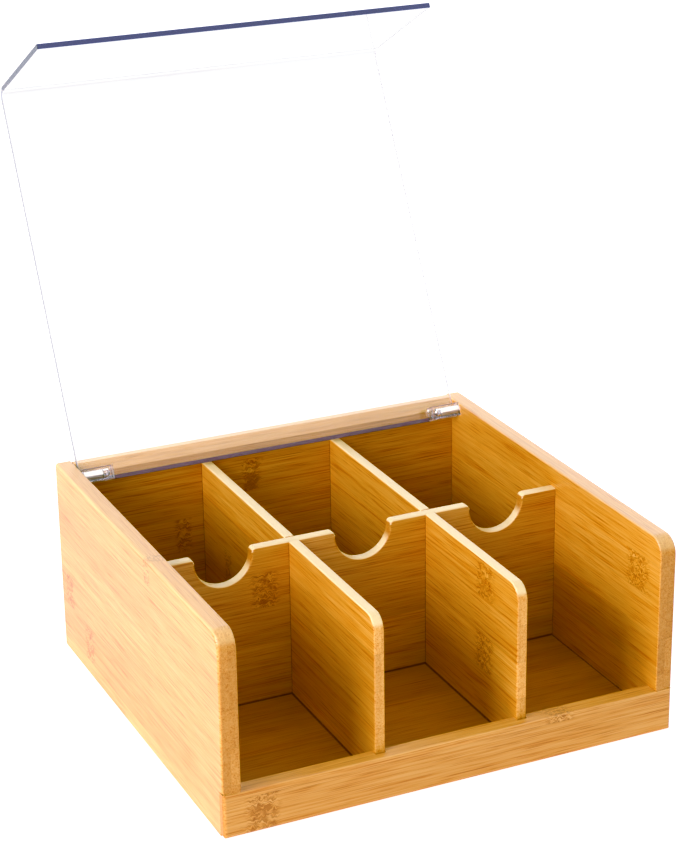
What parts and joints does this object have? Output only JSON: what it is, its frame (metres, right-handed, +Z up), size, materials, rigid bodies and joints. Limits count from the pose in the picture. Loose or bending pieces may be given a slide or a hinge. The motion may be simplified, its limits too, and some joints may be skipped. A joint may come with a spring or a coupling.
{
  "type": "tea bag organizer box",
  "caption": "Low bamboo box with divided compartments, finger notches, an open front behind a low rail, and a clear bent lid that flips up on rear pins.",
  "frame": {"origin": "middle of the front rail's underside, which is one of the faces the box stands on", "axes": "+Z up, -Y out through the open front, +X to the right as seen from the front"},
  "size_m": [0.26, 0.3418, 0.3494],
  "materials": {
    "bamboo": "satin lacquered, laminated strips with straight grain",
    "clear_sheet": "clear polished acrylic",
    "pin_steel": "bright"
  },
  "bodies": {
    "box": {"left_side_panel": "bamboo", "right_side_panel": "bamboo", "back_panel": "bamboo", "front_rail": "bamboo", "base_panel": "bamboo", "left_divider": "bamboo", "right_divider": "bamboo", "cross_divider": "bamboo"},
    "lid": {"lid": "clear_sheet", "left_hinge_block": "clear_sheet", "right_hinge_block": "clear_sheet", "left_hinge_pin": "pin_steel", "right_hinge_pin": "pin_steel"}
  },
  "joints": [
    {"name": "lid_hinge", "type": "hinge", "parent": "box", "child": "lid", "pos_m": [0, 0.2255, 0.1087], "axis": [1, 0, 0], "range_deg": [0, 118.7]}
  ]
}
